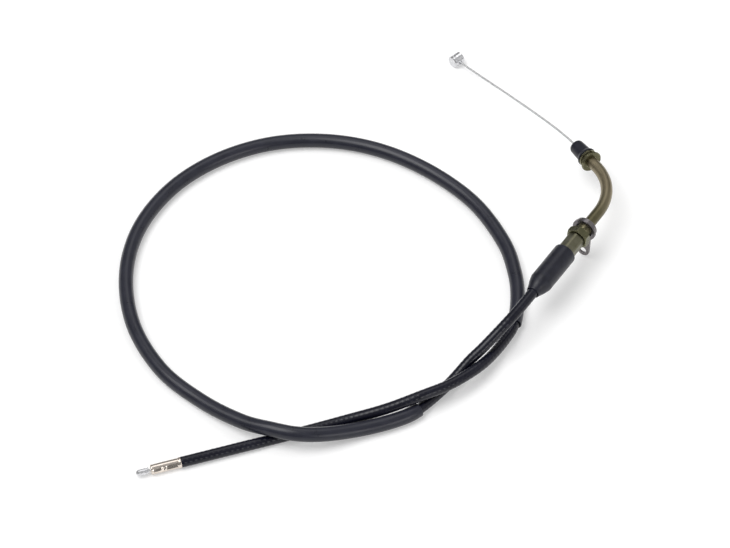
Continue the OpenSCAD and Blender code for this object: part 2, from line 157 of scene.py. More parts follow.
# The studio's soft lights: where each comes from, and how far from its middle it is full and ends, in degrees
LIGHTS = {
    "softbox": ((-0.38, -0.1, 0.92), 11, 28),
    "back_light": ((0.1, 0.52, 0.85), 7, 23),
    "side_light": ((0.9, 0.1, 0.3), 12, 42),
    "front_light": ((0.64, -0.7, 0.3), 8, 17),
}
TABLE_HALF_SIZE = 6  # metres


# ---- colours and materials

def linear(code):
    """A linear colour from an sRGB hex value such as 2a2b30."""
    parts = [int(code[i:i + 2], 16) / 255 for i in (0, 2, 4)]
    return tuple(c / 12.92 if c <= 0.04045 else ((c + 0.055) / 1.055) ** 2.4 for c in parts)


def add_node(tree, kind, values=(), links=(), **settings):
    """Adds a node with its settings, its inputs' values and the links that feed it."""
    node = tree.nodes.new(kind)
    for name, value in settings.items():
        setattr(node, name, value)
    for name, value in dict(values).items():
        node.inputs[name].default_value = value
    for name, source in dict(links).items():
        tree.links.new(source, node.inputs[name])
    return node


def new_material(name, colour, **constants):
    """A material of one Principled shader, with its tree and its shader."""
    material = bpy.data.materials.new(name)
    material.use_nodes = True
    material.diffuse_color = (*colour, 1)
    tree = material.node_tree
    shader = tree.nodes["Principled BSDF"]
    for socket, value in {"Base_Color": (*colour, 1), **constants}.items():
        shader.inputs[socket.replace("_", " ")].default_value = value
    return material, tree, shader


def uneven_skin(name, colours, roughness, spread, patch_mm, grain_mm, depth_mm, **constants):
    """A material that drifts between two colours over patches, with a fine grain pressed into it.

    Over the same patches its roughness drifts between the two ends of spread, which are measured from roughness.
    The finishes' grain sizes are guesses at typical ones: nothing in the photograph shows them.
    """
    material, tree, shader = new_material(name, colours[0], Roughness=roughness, **constants)
    coords = add_node(tree, "ShaderNodeTexCoord", name="coords").outputs["Object"]
    patches = add_node(tree, "ShaderNodeTexNoise", {"Scale": 1 / (patch_mm * MM), "Detail": 4.0}, {"Vector": coords})
    share = add_node(tree, "ShaderNodeMapRange", {"From Min": 0.32, "From Max": 0.68},
                     {"Value": patches.outputs["Fac"]}).outputs["Result"]
    drift = add_node(tree, "ShaderNodeMix", {"A": (*colours[0], 1), "B": (*colours[1], 1)}, {"Factor": share},
                     data_type="RGBA")
    rough = add_node(tree, "ShaderNodeMapRange", {"To Min": roughness + spread[0], "To Max": roughness + spread[1]},
                     {"Value": share})
    grain = add_node(tree, "ShaderNodeTexNoise", {"Scale": 1 / (grain_mm * MM), "Detail": 2.0}, {"Vector": coords})
    bump = add_node(tree, "ShaderNodeBump", {"Distance": depth_mm * MM}, {"Height": grain.outputs["Fac"]})
    tree.links.new(drift.outputs["Result"], shader.inputs["Base Color"])
    tree.links.new(rough.outputs["Result"], shader.inputs["Roughness"])
    tree.links.new(bump.outputs["Normal"], shader.inputs["Normal"])
    return material


def extruded_pvc(name, colours, roughness, specular):
    """Black PVC, extruded: an even, slightly waxy skin with soft reflections and a little handling dust."""
    # The die's own grain is too fine to show, so the skin's waviness is drawn 0.5 mm wide
    return uneven_skin(name, colours, roughness, (-0.03, 0.05), patch_mm=7, grain_mm=0.5, depth_mm=0.003,
                       Specular_IOR_Level=specular)


def moulded_rubber(name, colours, roughness):
    """EPDM rubber, moulded: a dry, matt skin with the mould's fine grain and a faint grey bloom."""
    # As from a mould blasted with grit of a quarter of a millimetre
    return uneven_skin(name, colours, roughness, (-0.05, 0.08), patch_mm=4, grain_mm=0.28, depth_mm=0.008,
                       Specular_IOR_Level=0.36)


def plated_brass(name, colours, roughness):
    """Brass, bright nickel plated: a warm mirror whose faint rolling marks break its reflections."""
    # Marks of some 0.1 mm, drawn coarser so that they show
    return uneven_skin(name, colours, roughness, (-0.02, 0.06), patch_mm=1.5, grain_mm=0.9, depth_mm=0.003,
                       Metallic=1.0)


def cast_zinc(name, colours, roughness):
    """Zinc alloy, die cast: a bright grey metal whose skin is slightly pitted and uneven."""
    # Pits of 0.6 mm, large for such a casting
    return uneven_skin(name, colours, roughness, (-0.08, 0.1), patch_mm=1.2, grain_mm=0.6, depth_mm=0.01,
                       Metallic=0.85)


def galvanised_wire(name, colours, roughness):
    """Steel wire, galvanised and drawn: satin grey with the drawing die's faint streaks."""
    # A grain of 0.15 mm, about one wire of the strand
    return uneven_skin(name, colours, roughness, (-0.05, 0.1), patch_mm=1.6, grain_mm=0.15, depth_mm=0.004,
                       Metallic=1.0)


def drawn_liner(name, colours, roughness):
    """Acetal, extruded thin: a milky, slippery liner."""
    # Flow marks of 0.4 mm
    return uneven_skin(name, colours, roughness, (-0.05, 0.05), patch_mm=2.5, grain_mm=0.4, depth_mm=0.005,
                       Subsurface_Weight=0.1)


def chromated_steel(name, colours, edge_highlight, roughness, far_tint=None):
    """Steel, zinc plated and chromated: a thin olive film that drifts in tint, with a highlight painted along its
    edges.
    """
    # The plate's crystals are too fine to show, so its grain is drawn 0.3 mm wide
    material = uneven_skin(name, colours, roughness, (-0.04, 0.07), patch_mm=3.5, grain_mm=0.3, depth_mm=0.0015,
                           Metallic=0.88)
    tree = material.node_tree
    skin_colour = tree.nodes["Principled BSDF"].inputs["Base Color"]
    colour = skin_colour.links[0].from_socket
    if far_tint:
        # The drawn tube's film turns from olive at the thread to violet-brown round the bend
        coords = tree.nodes["coords"].outputs["Object"]
        along = add_node(tree, "ShaderNodeVectorMath", {1: tuple(ADJUSTER_AXIS)}, {0: coords}, operation="DOT_PRODUCT")
        bend = SEAT.dot(ADJUSTER_AXIS) + BEND_START * MM
        turned_brown = add_node(tree, "ShaderNodeMapRange",
                                {"From Min": bend + TINT_FROM * MM, "From Max": bend + TINT_TO * MM},
                                {"Value": along.outputs["Value"]}, interpolation_type="SMOOTHSTEP")
        colour = add_node(tree, "ShaderNodeMix", {"B": (*far_tint, 1)},
                          {"Factor": turned_brown.outputs["Result"], "A": colour}, data_type="RGBA").outputs["Result"]
    # Where a small rounding would turn the normal there is an edge, and a paler colour is painted along it as a
    # highlight that stands in for the reflections in the narrow chamfers
    rounded = add_node(tree, "ShaderNodeBevel", {"Radius": HIGHLIGHT_EDGE_WIDTH * MM}, samples=6).outputs["Normal"]
    flat = add_node(tree, "ShaderNodeNewGeometry").outputs["Normal"]
    agree = add_node(tree, "ShaderNodeVectorMath", links={0: rounded, 1: flat}, operation="DOT_PRODUCT")
    edge = add_node(tree, "ShaderNodeMapRange",
                    {"From Min": 0.99, "From Max": 0.88, "To Min": 0.0, "To Max": 0.85},
                    {"Value": agree.outputs["Value"]}).outputs["Result"]
    # The painted highlight: the paler colour mixed in along the edges
    painted_highlight = add_node(tree, "ShaderNodeMix", {"B": (*edge_highlight, 1)}, {"Factor": edge, "A": colour}, data_type="RGBA")
    tree.links.new(painted_highlight.outputs["Result"], skin_colour)
    return material


# ---- meshes along a path

def catmull_rom(points, steps):
    """Points of the smooth curve through the given ones, steps to a span, as the CAD source draws it."""
    points = [Vector(p) for p in points]
    padded = [2 * points[0] - points[1], *points, 2 * points[-1] - points[-2]]
    curve = []
    for a, b, c, d in zip(padded, padded[1:], padded[2:], padded[3:]):
        for k in range(steps):
            t = k / steps
            curve.append(0.5 * (2 * b + t * (c - a) + t * t * (2 * a - 5 * b + 4 * c - d)
                                + t ** 3 * (3 * b - a - 3 * c + d)))
    return curve + [points[-1]]


class Track:
    """A path that doesn't start upright, with a frame carried along it without twist.

    It is read by the distance from its start, in metres.
    """

    def __init__(self, points):
        self.points = [Vector(p) for p in points]
        self.distance = [0.0]
        for a, b in zip(self.points, self.points[1:]):
            self.distance.append(self.distance[-1] + (b - a).length)
        self.length = self.distance[-1]
        ends = len(self.points) - 1
        self.ahead = [(self.points[min(i + 1, ends)] - self.points[max(i - 1, 0)]).normalized()
                      for i in range(ends + 1)]
        self.across = [self.ahead[0].cross(Vector((0, 0, 1))).normalized()]
        for ahead in self.ahead[1:]:
            side = self.across[-1] - ahead * self.across[-1].dot(ahead)
            self.across.append(side.normalized())

    def at(self, distance):
        """The point at a distance along the path, and the two directions across it there."""
        i = min(max(bisect_left(self.distance, distance) - 1, 0), len(self.points) - 2)
        t = (distance - self.distance[i]) / (self.distance[i + 1] - self.distance[i])
        middle = self.points[i].lerp(self.points[i + 1], t)
        near = min(1.0, max(0.0, t))
        ahead = self.ahead[i].lerp(self.ahead[i + 1], near).normalized()
        side = self.across[i].lerp(self.across[i + 1], near)
        side = (side - ahead * side.dot(ahead)).normalized()
        return middle, side, ahead.cross(side)


def straight(start, direction, low, high):
    """A straight track along direction, from low to high millimetres past start."""
    return Track([start + direction * (s * MM) for s in (low, high)])


def ring(track, distance, radius, sides):
    """One ring of points round the track.

    radius is a number, or a function of the distance and the turn in radians.
    """
    middle, side, up = track.at(distance)
    points = []
    for k in range(sides):
        turn = 2 * math.pi * k / sides
        r = radius(distance, turn) if callable(radius) else radius
        points.append(middle + side * (r * math.cos(turn)) + up * (r * math.sin(turn)))
    return points


def skin(name, rings, closed, material, sharp=35):
    """A mesh object over rings of equal count.

    A closed one joins its last ring to its first, and an open one has end caps.
    """
    mesh = bmesh.new()
    rows = [[mesh.verts.new(p) for p in points] for points in rings]
    sides = len(rows[0])
    for low, high in zip(rows, rows[1:] + rows[:1] if closed else rows[1:]):
        for k in range(sides):
            n = (k + 1) % sides
            mesh.faces.new((low[k], low[n], high[n], high[k]))
    if not closed:
        for row in (rows[0], rows[-1]):
            middle = mesh.verts.new(sum((v.co for v in row), Vector()) / sides)
            for k in range(sides):
                mesh.faces.new((row[(k + 1) % sides], row[k], middle))
    bmesh.ops.recalc_face_normals(mesh, faces=mesh.faces)
    return finish_mesh(name, mesh, material, sharp)


def finish_mesh(name, mesh, material, sharp=35):
    """Turns a bmesh into an object with smooth faces, edges sharper than sharp degrees kept, and a material."""
    data = bpy.data.meshes.new(name)
    mesh.to_mesh(data)
    mesh.free()
    data.shade_smooth()
    data.set_sharp_from_angle(angle=math.radians(sharp))
    piece = bpy.data.objects.new(name, data)
    bpy.context.collection.objects.link(piece)
    data.materials.append(material)
    return piece


def stations(low, high, step):
    """Distances from low to high, about step apart."""
    count = max(1, math.ceil((high - low) / step))
    return [low + (high - low) * k / count for k in range(count + 1)]


def softened(loop, reach, steps=3):
    """A closed outline of (distance, radius) with its corners rounded, reach from each corner at most."""
    rounded = []
    for before, corner, after in zip(loop[-1:] + loop, loop, loop[1:] + loop[:1]):
        corner = Vector(corner)
        arms = []
        for other in (before, after):
            arm = Vector(other) - corner
            arms.append(corner + arm * min(0.45, reach / max(arm.length, 1e-9)))
        for k in range(steps + 1):
            t = k / steps
            rounded.append((1 - t) ** 2 * arms[0] + 2 * t * (1 - t) * corner + t * t * arms[1])
    return [tuple(p) for p in rounded]


def refined(loop, step):
    """The same closed outline with no stretch longer than step."""
    fine = []
    for a, b in zip(loop, loop[1:] + loop[:1]):
        a, b = Vector(a), Vector(b)
        count = max(1, math.ceil((b - a).length / step))
        fine.extend(tuple(a.lerp(b, k / count)) for k in range(count))
    return fine


def turned(name, start, direction, loop, material, sides=48, shape=None, sharp=35):
    """A piece of revolution round a line. loop is its closed outline of (station, radius) in millimetres.

    shape, a function of the station, the radius and the turn, gives what is added to the radius there.
    """
    low, high = min(loop)[0], max(loop)[0]
    track = straight(start, direction, low, high)
    rings = []
    for s, r in loop:
        radius = r * MM if shape is None else (lambda d, turn, r=r, s=s: (r + shape(s, r, turn)) * MM)
        rings.append(ring(track, (s - low) * MM, radius, sides))
    return skin(name, rings, True, material, sharp)


def hose(name, track, low, high, outer, bore, material, step, sides, lip):
    """A hose between two distances, in metres: outer skin, rounded lips, bore. outer may be a function.

    step, from row to row, and lip, the rounding of both ends, are in millimetres.
    """
    inside, edge = bore + 0.6 * lip * MM, lip * MM
    first, last = ((outer(end, 0.0) if callable(outer) else outer) - edge for end in (low, high))
    rings = [ring(track, low, inside, sides), ring(track, low, first, sides)]
    rings += [ring(track, s, outer, sides) for s in stations(low + edge, high - edge, step * MM)]
    rings += [ring(track, high, last, sides), ring(track, high, inside, sides)]
    rings += [ring(track, s, bore, sides) for s in reversed(stations(low + edge, high - edge, 4 * MM))]
    return skin(name, rings, True, material)


# ---- the cable's own paths

def on_adjuster(s):
    """The point on the adjuster's axis at station s."""
    return SEAT + ADJUSTER_AXIS * (s * MM)


def bend_side():
    """The direction that the elbow bends towards."""
    left = Vector((-ADJUSTER_AXIS.y, ADJUSTER_AXIS.x, 0))
    return math.cos(ELBOW_ROLL) * left - math.sin(ELBOW_ROLL) * Vector((0, 0, 1))


def in_bend(angle):
    """The point of the pipe's middle line where the bend has turned by angle."""
    r = BEND_RADIUS * MM
    return on_adjuster(BEND_START) + ADJUSTER_AXIS * (r * math.sin(angle)) + bend_side() * (r * (1 - math.cos(angle)))


END_AXIS = math.cos(BEND_ANGLE) * ADJUSTER_AXIS + math.sin(BEND_ANGLE) * bend_side()


def on_end(t):
    """The point on the elbow's straight end, t past the bend."""
    return in_bend(BEND_ANGLE) + END_AXIS * (t * MM)


DRUM_MIDDLE = on_end(NUB_TIP) + TO_DRUM * (GRIP_WIRE_LENGTH * MM)
CASING_END = Vector(ROUTE[-1]) * MM


def elbow_points():
    """The middle line of the elbow pipe, from its threaded end."""
    bend = [in_bend(BEND_ANGLE * k / 40) for k in range(41)]
    return [on_adjuster(PIPE_START), *bend, on_end(PIPE_END)]


def grip_wire_points():
    """The wire from inside the dust cap to inside the drum, one gentle bow."""
    start = on_end(NUB_TIP)
    end = DRUM_MIDDLE - TO_DRUM * ((DRUM_R - DRUM_SOCKET) * MM)
    lead = WIRE_LEAD * MM
    handles = (start, start + END_AXIS * lead, end - TO_DRUM * lead, end)
    points = [on_end(CAP_TIP - CAP_WIRE)]
    for k in range(61):
        t = k / 60
        weights = ((1 - t) ** 3, 3 * t * (1 - t) ** 2, 3 * t * t * (1 - t), t ** 3)
        points.append(sum((w * h for w, h in zip(weights, handles)), Vector()))
    return points


def casing_track():
    """The casing's middle line, from its seat in the adjuster to the ferrule."""
    return Track([p * MM for p in catmull_rom(ROUTE, SPAN_STEPS)])


def route_distance(track, index):
    """How far along the casing a point of the route lies."""
    return track.distance[index * SPAN_STEPS]


# ---- settings

class CableSizes(bpy.types.PropertyGroup):
    """Sizes of what the scene adds to the CAD frame"""
    casing_diameter: FloatProperty(
        name="Casing diameter", description="Outside diameter of the black jacket", default=0.0059, unit="LENGTH")
    jacket_bore: FloatProperty(
        name="Jacket bore", description="Inside diameter of the jacket", default=0.0044, unit="LENGTH")
    sleeve_diameter: FloatProperty(
        name="Sleeve diameter", description="Outside diameter of the protective sleeve", default=0.008, unit="LENGTH")
    sleeve_bore: FloatProperty(
        name="Sleeve bore", description="Inside diameter of the protective sleeve", default=0.0063, unit="LENGTH")
    wire_diameter: FloatProperty(
        name="Wire diameter", description="Diameter of the stranded inner wire", default=0.0012, unit="LENGTH")
    wire_lay: FloatProperty(
        name="Lay of the wire", description="Length in which a strand turns once", default=0.009, unit="LENGTH")
    rib_pitch: FloatProperty(
        name="Rib pitch", description="Pitch of the wound steel that shows through the jacket", default=0.0028,
        unit="LENGTH")
    rib_height: FloatProperty(
        name="Rib height", description="Height of those ribs", default=0.0001, unit="LENGTH")
    thread_pitch: FloatProperty(
        name="Thread pitch", description="Pitch of the adjusting thread", default=0.001, unit="LENGTH")


class CableColours(bpy.types.PropertyGroup):
    """Base colours of the finishes"""
    jacket: FloatVectorProperty(
        name="Jacket", description="Black of the casing's jacket", default=linear("0b0c19"), subtype="COLOR")
    sleeve: FloatVectorProperty(
        name="Sleeve", description="Black of the protective sleeve", default=linear("22232d"), subtype="COLOR")
    rubber: FloatVectorProperty(
        name="Rubber", description="Black of the boot and the dust cap", default=linear("151620"), subtype="COLOR")
    pipe: FloatVectorProperty(
        name="Pipe", description="Olive of the elbow pipe", default=linear("5c5741"), subtype="COLOR")
    nut: FloatVectorProperty(
        name="Nut", description="Yellow-olive of the lock nut", default=linear("575640"), subtype="COLOR")
    barrel: FloatVectorProperty(
        name="Barrel", description="Grey-olive of the adjuster barrel", default=linear("64624f"), subtype="COLOR")
    plate: FloatVectorProperty(
        name="Plate", description="Grey-violet of the holder plate", default=linear("68646a"), subtype="COLOR")
    nickel: FloatVectorProperty(
        name="Nickel", description="Warm white of the ferrule", default=linear("e8ded4"), subtype="COLOR")
    zinc: FloatVectorProperty(
        name="Zinc", description="Grey of the nipples", default=linear("e6e6e8"), subtype="COLOR")


class StudioSettings(bpy.types.PropertyGroup):
    """The camera and the light"""
    elevation: FloatProperty(
        name="Elevation", description="How steeply the camera looks down", default=math.radians(49.3),
        subtype="ANGLE")
    distance: FloatProperty(
        name="Distance", description="From the camera to what it aims at", default=2.1922, unit="LENGTH")
    focal_length: FloatProperty(
        name="Focal length", description="Focal length of the lens in millimetres", default=200.0, unit="CAMERA")
    target: FloatVectorProperty(
        name="Target", description="Point on the table in the middle of the picture", default=(-0.0075, -0.011, 0.0),
        subtype="XYZ", unit="LENGTH")
    table: FloatVectorProperty(
        name="Table", description="Colour of the table", default=linear("dcdcdc"), subtype="COLOR")
    table_glow: FloatProperty(
        name="Table glow", description="Brightness that the table adds where it is seen", default=0.32)
    room_low: FloatProperty(
        name="Room at the horizon", description="Brightness of the room at the horizon", default=0.14)
    room_high: FloatProperty(
        name="Room overhead", description="Brightness of the ceiling", default=0.45)
    softbox: FloatProperty(
        name="Softbox", description="Brightness of the main soft light overhead", default=4.8)
    back_light: FloatProperty(
        name="Back light", description="Brightness of the soft light behind the cable", default=1.2)
    side_light: FloatProperty(
        name="Side light", description="Brightness of the wide weak light on the right", default=0.45)
    front_light: FloatProperty(
        name="Front light", description="Brightness of the small light at the front", default=3.2)


# ---- operators

def black(colour, lift):
    """The two ends of a near-black that varies a little."""
    return tuple(colour), tuple(c * lift + 0.001 for c in colour)


class CABLE_OT_casing(bpy.types.Operator):
    """Makes the casing: ribbed jacket, steel winding, liner and the inner wire's hidden run"""
    bl_idname = "cable.casing"
    bl_label = "Casing"

    def execute(self, context):
        sizes, colours = context.scene.cable_sizes, context.scene.cable_colours
        track = casing_track()
        outer = sizes.casing_diameter / 2
        bore = sizes.jacket_bore / 2
        # The sleeve hides the jacket from a little inside its ends, where the ribs stop and the rows grow longer
        overlap, row, hidden_row, lip, sides = 8 * MM, 0.45 * MM, 3 * MM, 0.12 * MM, 24
        low, high = lip, track.length - lip
        sleeve_low = route_distance(track, SLEEVE_FIRST) + overlap
        sleeve_high = route_distance(track, SLEEVE_LAST) - overlap

        def ribbed(distance, turn):
            if sleeve_low < distance < sleeve_high:
                return outer - sizes.rib_height
            phase = 2 * math.pi * distance / sizes.rib_pitch - turn
            patch = noise.noise(Vector((distance / (22 * MM), 0, 0)))
            swell = 0.5 + 0.5 * math.sin(phase)
            return outer - sizes.rib_height * (0.15 + (0.75 + 0.3 * patch) * (1 - swell ** 2))

        rows = (stations(low, sleeve_low, row) + stations(sleeve_low, sleeve_high, hidden_row)[1:-1]
                + stations(sleeve_high, high, row))
        lips = (bore + 0.1 * MM, outer - 0.2 * MM)
        rings = [ring(track, 0.0, r, sides) for r in lips]
        rings += [ring(track, s, ribbed, sides) for s in rows]
        rings += [ring(track, track.length, r, sides) for r in reversed(lips)]
        rings += [ring(track, s, bore, sides) for s in reversed(stations(low, high, 5 * MM))]
        jacket_pvc = extruded_pvc("PVC, extruded glossy jacket", black(colours.jacket, 1.4), 0.24, 0.33)
        jacket = skin("jacket", rings, True, jacket_pvc)
        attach(jacket, "casing")
        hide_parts("casing_jacket")

        bare = Track(track.points + [CASING_END + CARB_AXIS * (WINDING_SHOWN * MM)])
        steel = galvanised_wire("Spring steel, flat wound", (linear("8b8c90"), linear("77787c")), 0.4)
        acetal = drawn_liner("Acetal, extruded liner", (linear("e4e3dc"), linear("d8d7cf")), 0.4)
        for name, radius, hole, material, node, slot in (
                ("winding", WINDING_R, WINDING_BORE, steel, "casing_winding", "winding_steel"),
                ("liner", LINER_R, LINER_BORE, acetal, "casing_liner", "liner_plastic")):
            layer = hose(name, bare, 0, bare.length, radius * MM, hole * MM, material, step=3, sides=16, lip=0.1)
            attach(layer, "casing")
            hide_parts(node)

        # This wire stops short of the ferrule, where the end that slides in and out begins
        last = CASING_END - CARB_AXIS * ((CARB_STROKE + CARB_LEAD + END_GAP) * MM)
        run = [on_adjuster(THREAD_START), *track.points[1:-SPAN_STEPS], last]
        hidden = strand("hidden_wire", Track(run), sizes, step=3, sides=12)
        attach(hidden, "casing")
        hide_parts("casing_wire")
        return {"FINISHED"}


class CABLE_OT_sleeve(bpy.types.Operator):
    """Makes the protective sleeve, a looser tube that the casing lies in"""
    bl_idname = "cable.sleeve"
    bl_label = "Protective sleeve"

    def execute(self, context):
        sizes, colours = context.scene.cable_sizes, context.scene.cable_colours
        track = casing_track()
        low = route_distance(track, SLEEVE_FIRST)
        high = route_distance(track, SLEEVE_LAST)
        outer, wander = sizes.sleeve_diameter / 2, 0.05 * MM

        def relaxed(distance, turn):
            drift = noise.noise(Vector((distance / (45 * MM), math.cos(turn), math.sin(turn))))
            return outer - wander + wander * drift

        pvc = extruded_pvc("PVC, extruded soft sleeve", black(colours.sleeve, 1.25), 0.3, 0.36)
        sleeve = hose("sleeve", track, low, high, relaxed, sizes.sleeve_bore / 2, pvc, step=1.5, sides=36, lip=0.16)
        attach(sleeve, "casing")
        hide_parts("protective_sleeve")
        return {"FINISHED"}


def strand(name, track, sizes, step=0.5, sides=48):
    """A stretch of the stranded wire: eight strands that turn once in a lay. step is in millimetres."""
    finish = "Steel wire, galvanised strand"
    steel = bpy.data.materials.get(finish) or galvanised_wire(finish, (linear("f0f0f1"), linear("d6d7d8")), 0.36)
    radius = sizes.wire_diameter / 2
    strands, valley = 8, 0.74

    def lobed(distance, turn):
        crest = abs(math.cos(strands / 2 * (turn - 2 * math.pi * distance / sizes.wire_lay)))
        return radius * (valley + (1 - valley) * crest)

    rings = [ring(track, s, lobed, sides) for s in stations(0, track.length, step * MM)]
    return skin(name, rings, False, steel, sharp=60)


class CABLE_OT_wire(bpy.types.Operator):
    """Makes the open wire at both ends: the long one that pulls into the elbow, and the short one at the ferrule"""
    bl_idname = "cable.wire"
    bl_label = "Inner wire"

    def execute(self, context):
        sizes = context.scene.cable_sizes
        grip = strand("grip_strand", Track(grip_wire_points()), sizes)
        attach(grip, "elbow")
        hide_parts("grip_wire")
        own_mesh(grip)

        short = straight(CASING_END, CARB_AXIS, -CARB_STROKE - CARB_LEAD, FERRULE_LENGTH + WIRE_GAP + NIPPLE_SOCKET)
        carb = strand("carb_strand", short, sizes)
        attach(carb, "carb_end")
        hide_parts("carb_wire")

        inner = Track([on_adjuster(THREAD_START + END_GAP), *elbow_points()[1:-1],
                       on_end(CAP_TIP - CAP_WIRE - END_GAP)])
        inside = strand("elbow_strand", inner, sizes, step=2, sides=16)
        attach(inside, "elbow")
        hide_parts("elbow_wire")
        return {"FINISHED"}


class CABLE_OT_elbow(bpy.types.Operator):
    """Makes the elbow pipe with its rolled thread and the two beads that hold the plate"""
    bl_idname = "cable.elbow"
    bl_label = "Elbow pipe"

    def execute(self, context):
        sizes, colours = context.scene.cable_sizes, context.scene.cable_colours
        track = Track(elbow_points())
        thread_end = (BEAD_STARTS[0] - PIPE_START) * MM
        run_in, run_out, sides = 0.8 * MM, 0.5 * MM, 48

        def threaded(distance, turn):
            phase = (distance / sizes.thread_pitch - turn / (2 * math.pi)) % 1.0
            groove = max(0.0, abs(2 * phase - 1) * 1.15 - 0.15)
            fade = max(0.0, min(1.0, distance / run_in, (thread_end - distance) / run_out))
            return (THREAD_R - THREAD_DEPTH * groove * fade) * MM

        outline = []
        for start in BEAD_STARTS:
            for k in range(9):
                angle = math.pi * k / 8
                outline.append((start - PIPE_START + BEAD_WIDTH * (1 - math.cos(angle)) / 2,
                                PIPE_R + (BEAD_R - PIPE_R) * math.sin(angle) ** 0.6))
        length = track.length / MM
        outline += [(s, PIPE_R) for s in stations(outline[-1][0] + 0.4, length - 0.3, 1.2)] + [(length, PIPE_R - 0.3)]
        rings = [ring(track, s, threaded, sides) for s in stations(0, thread_end - 0.02 * MM, 0.1 * MM)]
        rings += [ring(track, s * MM, r * MM, sides) for s, r in outline]
        rings += [ring(track, s, PIPE_BORE * MM, sides) for s in reversed(stations(0, track.length, 2 * MM))]
        # a8a48c is the paler colour painted along the pipe's edges as a highlight
        steel = chromated_steel("Steel, olive chromated zinc plate, drawn tube",
                                (tuple(colours.pipe), linear("67624b")), linear("a8a48c"), 0.36,
                                far_tint=linear("8a8069"))
        pipe = skin("elbow_tube", rings, True, steel)
        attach(pipe, "elbow")
        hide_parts("elbow_pipe")
        return {"FINISHED"}


class CABLE_OT_boot(bpy.types.Operator):
    """Makes the rubber boot that covers the adjuster, with a soft taper down to the casing"""
    bl_idname = "cable.boot"
    bl_label = "Rubber boot"

    def execute(self, context):
        back, front, taper = BOOT_BACK, BOOT_FRONT, BOOT_BACK + BOOT_TAPER
        loop = [(front, BOOT_BORE), (front, BOOT_R), (taper + 1.6, BOOT_R), (taper - 2.2, WAIST_R),
                (back + 1.6, TAIL_R), (back, BOOT_END_R), (back, TAIL_BORE), (taper, TAIL_BORE), (taper + 5, BOOT_BORE)]
        loop = refined(softened(loop, 0.55, steps=4), 0.8)
        # The narrow end is pinched a little flat over a few millimetres, and the wide part isn't quite round
        pinch_depth, pinch_reach, wander_depth = 0.22, 3.6, 0.05

        def settled(s, r, turn):
            near_back = max(0.0, 1 - abs(s - (back + pinch_reach)) / pinch_reach)
            pinch = -pinch_depth * near_back * max(0.0, math.cos(2 * turn + 0.6)) if r > 3.7 else 0
            wander = wander_depth * noise.noise(Vector((s / 6, 1.6 * math.cos(turn), 1.6 * math.sin(turn))))
            return pinch + (wander - 0.03 if r > 5.2 else 0)

        boot = turned("boot", SEAT, ADJUSTER_AXIS, loop, rubber_material(context), sides=64, shape=settled)
        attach(boot, "boot")
        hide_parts("rubber_boot")
        return {"FINISHED"}


def rubber_material(context):
    """The finish of the boot and the dust cap, which come from the same rubber."""
    name = "EPDM rubber, moulded"
    return bpy.data.materials.get(name) or moulded_rubber(name, black(context.scene.cable_colours.rubber, 1.5), 0.36)


class CABLE_OT_dust_cap(bpy.types.Operator):
    """Makes the dust cap on the elbow's end, with its flared skirt and the nub that the wire leaves through"""
    bl_idname = "cable.dust_cap"
    bl_label = "Dust cap"

    def execute(self, context):
        tip = CAP_TIP
        bore_end = PIPE_END + 0.3
        loop = [(CAP_START, CAP_BORE), (CAP_START, SKIRT_R), (CAP_START + 0.7, SKIRT_R), (CAP_START + 2.2, CAP_ROOT_R),
                (tip - 1, CAP_R), (tip - 0.2, CAP_R - 0.3), (tip, CAP_R - 1), (tip - 0.05, NUB_R), (NUB_TIP, NUB_R),
                (NUB_TIP, NUB_BORE), (bore_end, NUB_BORE), (bore_end, CAP_BORE)]
        loop = refined(softened(loop, 0.35, steps=4), 0.7)
        cap = turned("dust_cap_rubber", in_bend(BEND_ANGLE), END_AXIS, loop, rubber_material(context), sides=56)
        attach(cap, "elbow")
        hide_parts("dust_cap")
        return {"FINISHED"}


def nickel_material(context):
    """The finish of the ferrule and the casing cap, which are both nickel plated."""
    name = "Brass, bright nickel plated"
    nickel = context.scene.cable_colours.nickel
    return bpy.data.materials.get(name) or plated_brass(name, (tuple(nickel), linear("d4cac0")), 0.12)


class CABLE_OT_ferrule(bpy.types.Operator):
    """Makes the crimped ferrule, with the flats and the round dents that the crimping tool presses into it"""
    bl_idname = "cable.ferrule"
    bl_label = "Crimped ferrule"

    def execute(self, context):
        start, end, bore_end = 0.05, FERRULE_LENGTH, WINDING_SHOWN + 0.1
        loop = [(start, FERRULE_BORE), (start, RIM_R - 0.2), (start + 0.2, RIM_R), (0.8, RIM_R), (1.2, FERRULE_R),
                (end - 0.4, FERRULE_R), (end, FERRULE_R - 0.4), (end, WIRE_HOLE), (bore_end, WIRE_HOLE),
                (bore_end, FERRULE_BORE)]
        loop = refined(softened(loop, 0.15), 0.3)

        def crimped(s, r, turn):
            if r < FERRULE_R - 0.2:
                return 0.0
            away = min(abs(math.remainder(turn - side, 2 * math.pi)) for side in (CRIMP_SIDE, CRIMP_SIDE + math.pi))
            pressed = -DENT_DEPTH * max(0.0, 1 - math.hypot(s - DENT_AT, r * away) / DENT_R)
            for low, high, half in FLATS:
                inside = min(1.0, max(0.0, min(s - low, high - s) / FLAT_RUN))
                if away < half:
                    pressed = min(pressed, inside * r * (math.cos(half) / math.cos(away) - 1))
            return pressed

        ferrule = turned("crimped_ferrule", CASING_END, CARB_AXIS, loop, nickel_material(context), sides=96,
                         shape=crimped, sharp=18)
        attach(ferrule, "casing")
        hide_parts("carb_ferrule")
        return {"FINISHED"}


